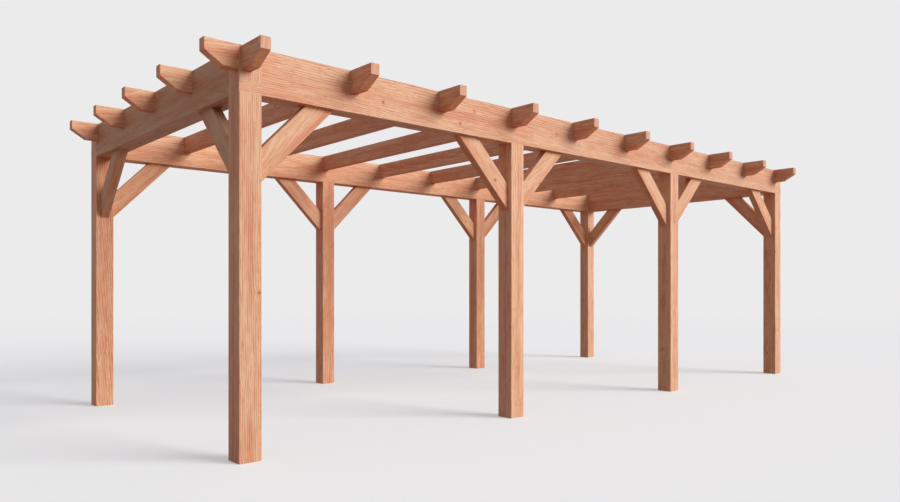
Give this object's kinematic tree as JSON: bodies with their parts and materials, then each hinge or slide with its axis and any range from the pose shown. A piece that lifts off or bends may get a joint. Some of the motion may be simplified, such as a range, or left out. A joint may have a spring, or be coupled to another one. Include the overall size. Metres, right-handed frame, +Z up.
{
  "type": "patio cover",
  "caption": "Free-standing open timber patio cover: square posts, beams on top all round, rafters with cut tails halved across, diagonal knee braces.",
  "frame": {"origin": "middle of the plan, on the ground under the posts", "axes": "+X along the cover from the left end to the right end, +Y from the front row of posts to the back row, +Z up"},
  "size_m": [7.74, 3.51, 2.545],
  "materials": {
    "post_timber": "planed, oiled",
    "beam_timber": "planed, oiled",
    "rafter_timber": "planed, oiled",
    "brace_timber": "planed, oiled"
  },
  "bodies": {
    "root": {"back_brace_1_right": "brace_timber", "back_brace_2_left": "brace_timber", "back_brace_2_right": "brace_timber", "back_brace_3_left": "brace_timber", "back_brace_3_right": "brace_timber", "back_brace_4_left": "brace_timber", "back_long_beam": "beam_timber", "back_post_1": "post_timber", "back_post_2": "post_timber", "back_post_3": "post_timber", "back_post_4": "post_timber", "brace_left_end_back": "brace_timber", "brace_left_end_front": "brace_timber", "brace_right_end_back": "brace_timber", "brace_right_end_front": "brace_timber", "front_brace_1_right": "brace_timber", "front_brace_2_left": "brace_timber", "front_brace_2_right": "brace_timber", "front_brace_3_left": "brace_timber", "front_brace_3_right": "brace_timber", "front_brace_4_left": "brace_timber", "front_long_beam": "beam_timber", "front_post_1": "post_timber", "front_post_2": "post_timber", "front_post_3": "post_timber", "front_post_4": "post_timber", "left_end_beam": "beam_timber", "rafter_1": "rafter_timber", "rafter_2": "rafter_timber", "rafter_3": "rafter_timber", "rafter_4": "rafter_timber", "rafter_5": "rafter_timber", "rafter_6": "rafter_timber", "rafter_7": "rafter_timber", "rafter_8": "rafter_timber", "right_end_beam": "beam_timber", "tails_back": "rafter_timber", "tails_front": "rafter_timber", "tails_left_end": "rafter_timber", "tails_right_end": "rafter_timber"}
  },
  "joints": []
}
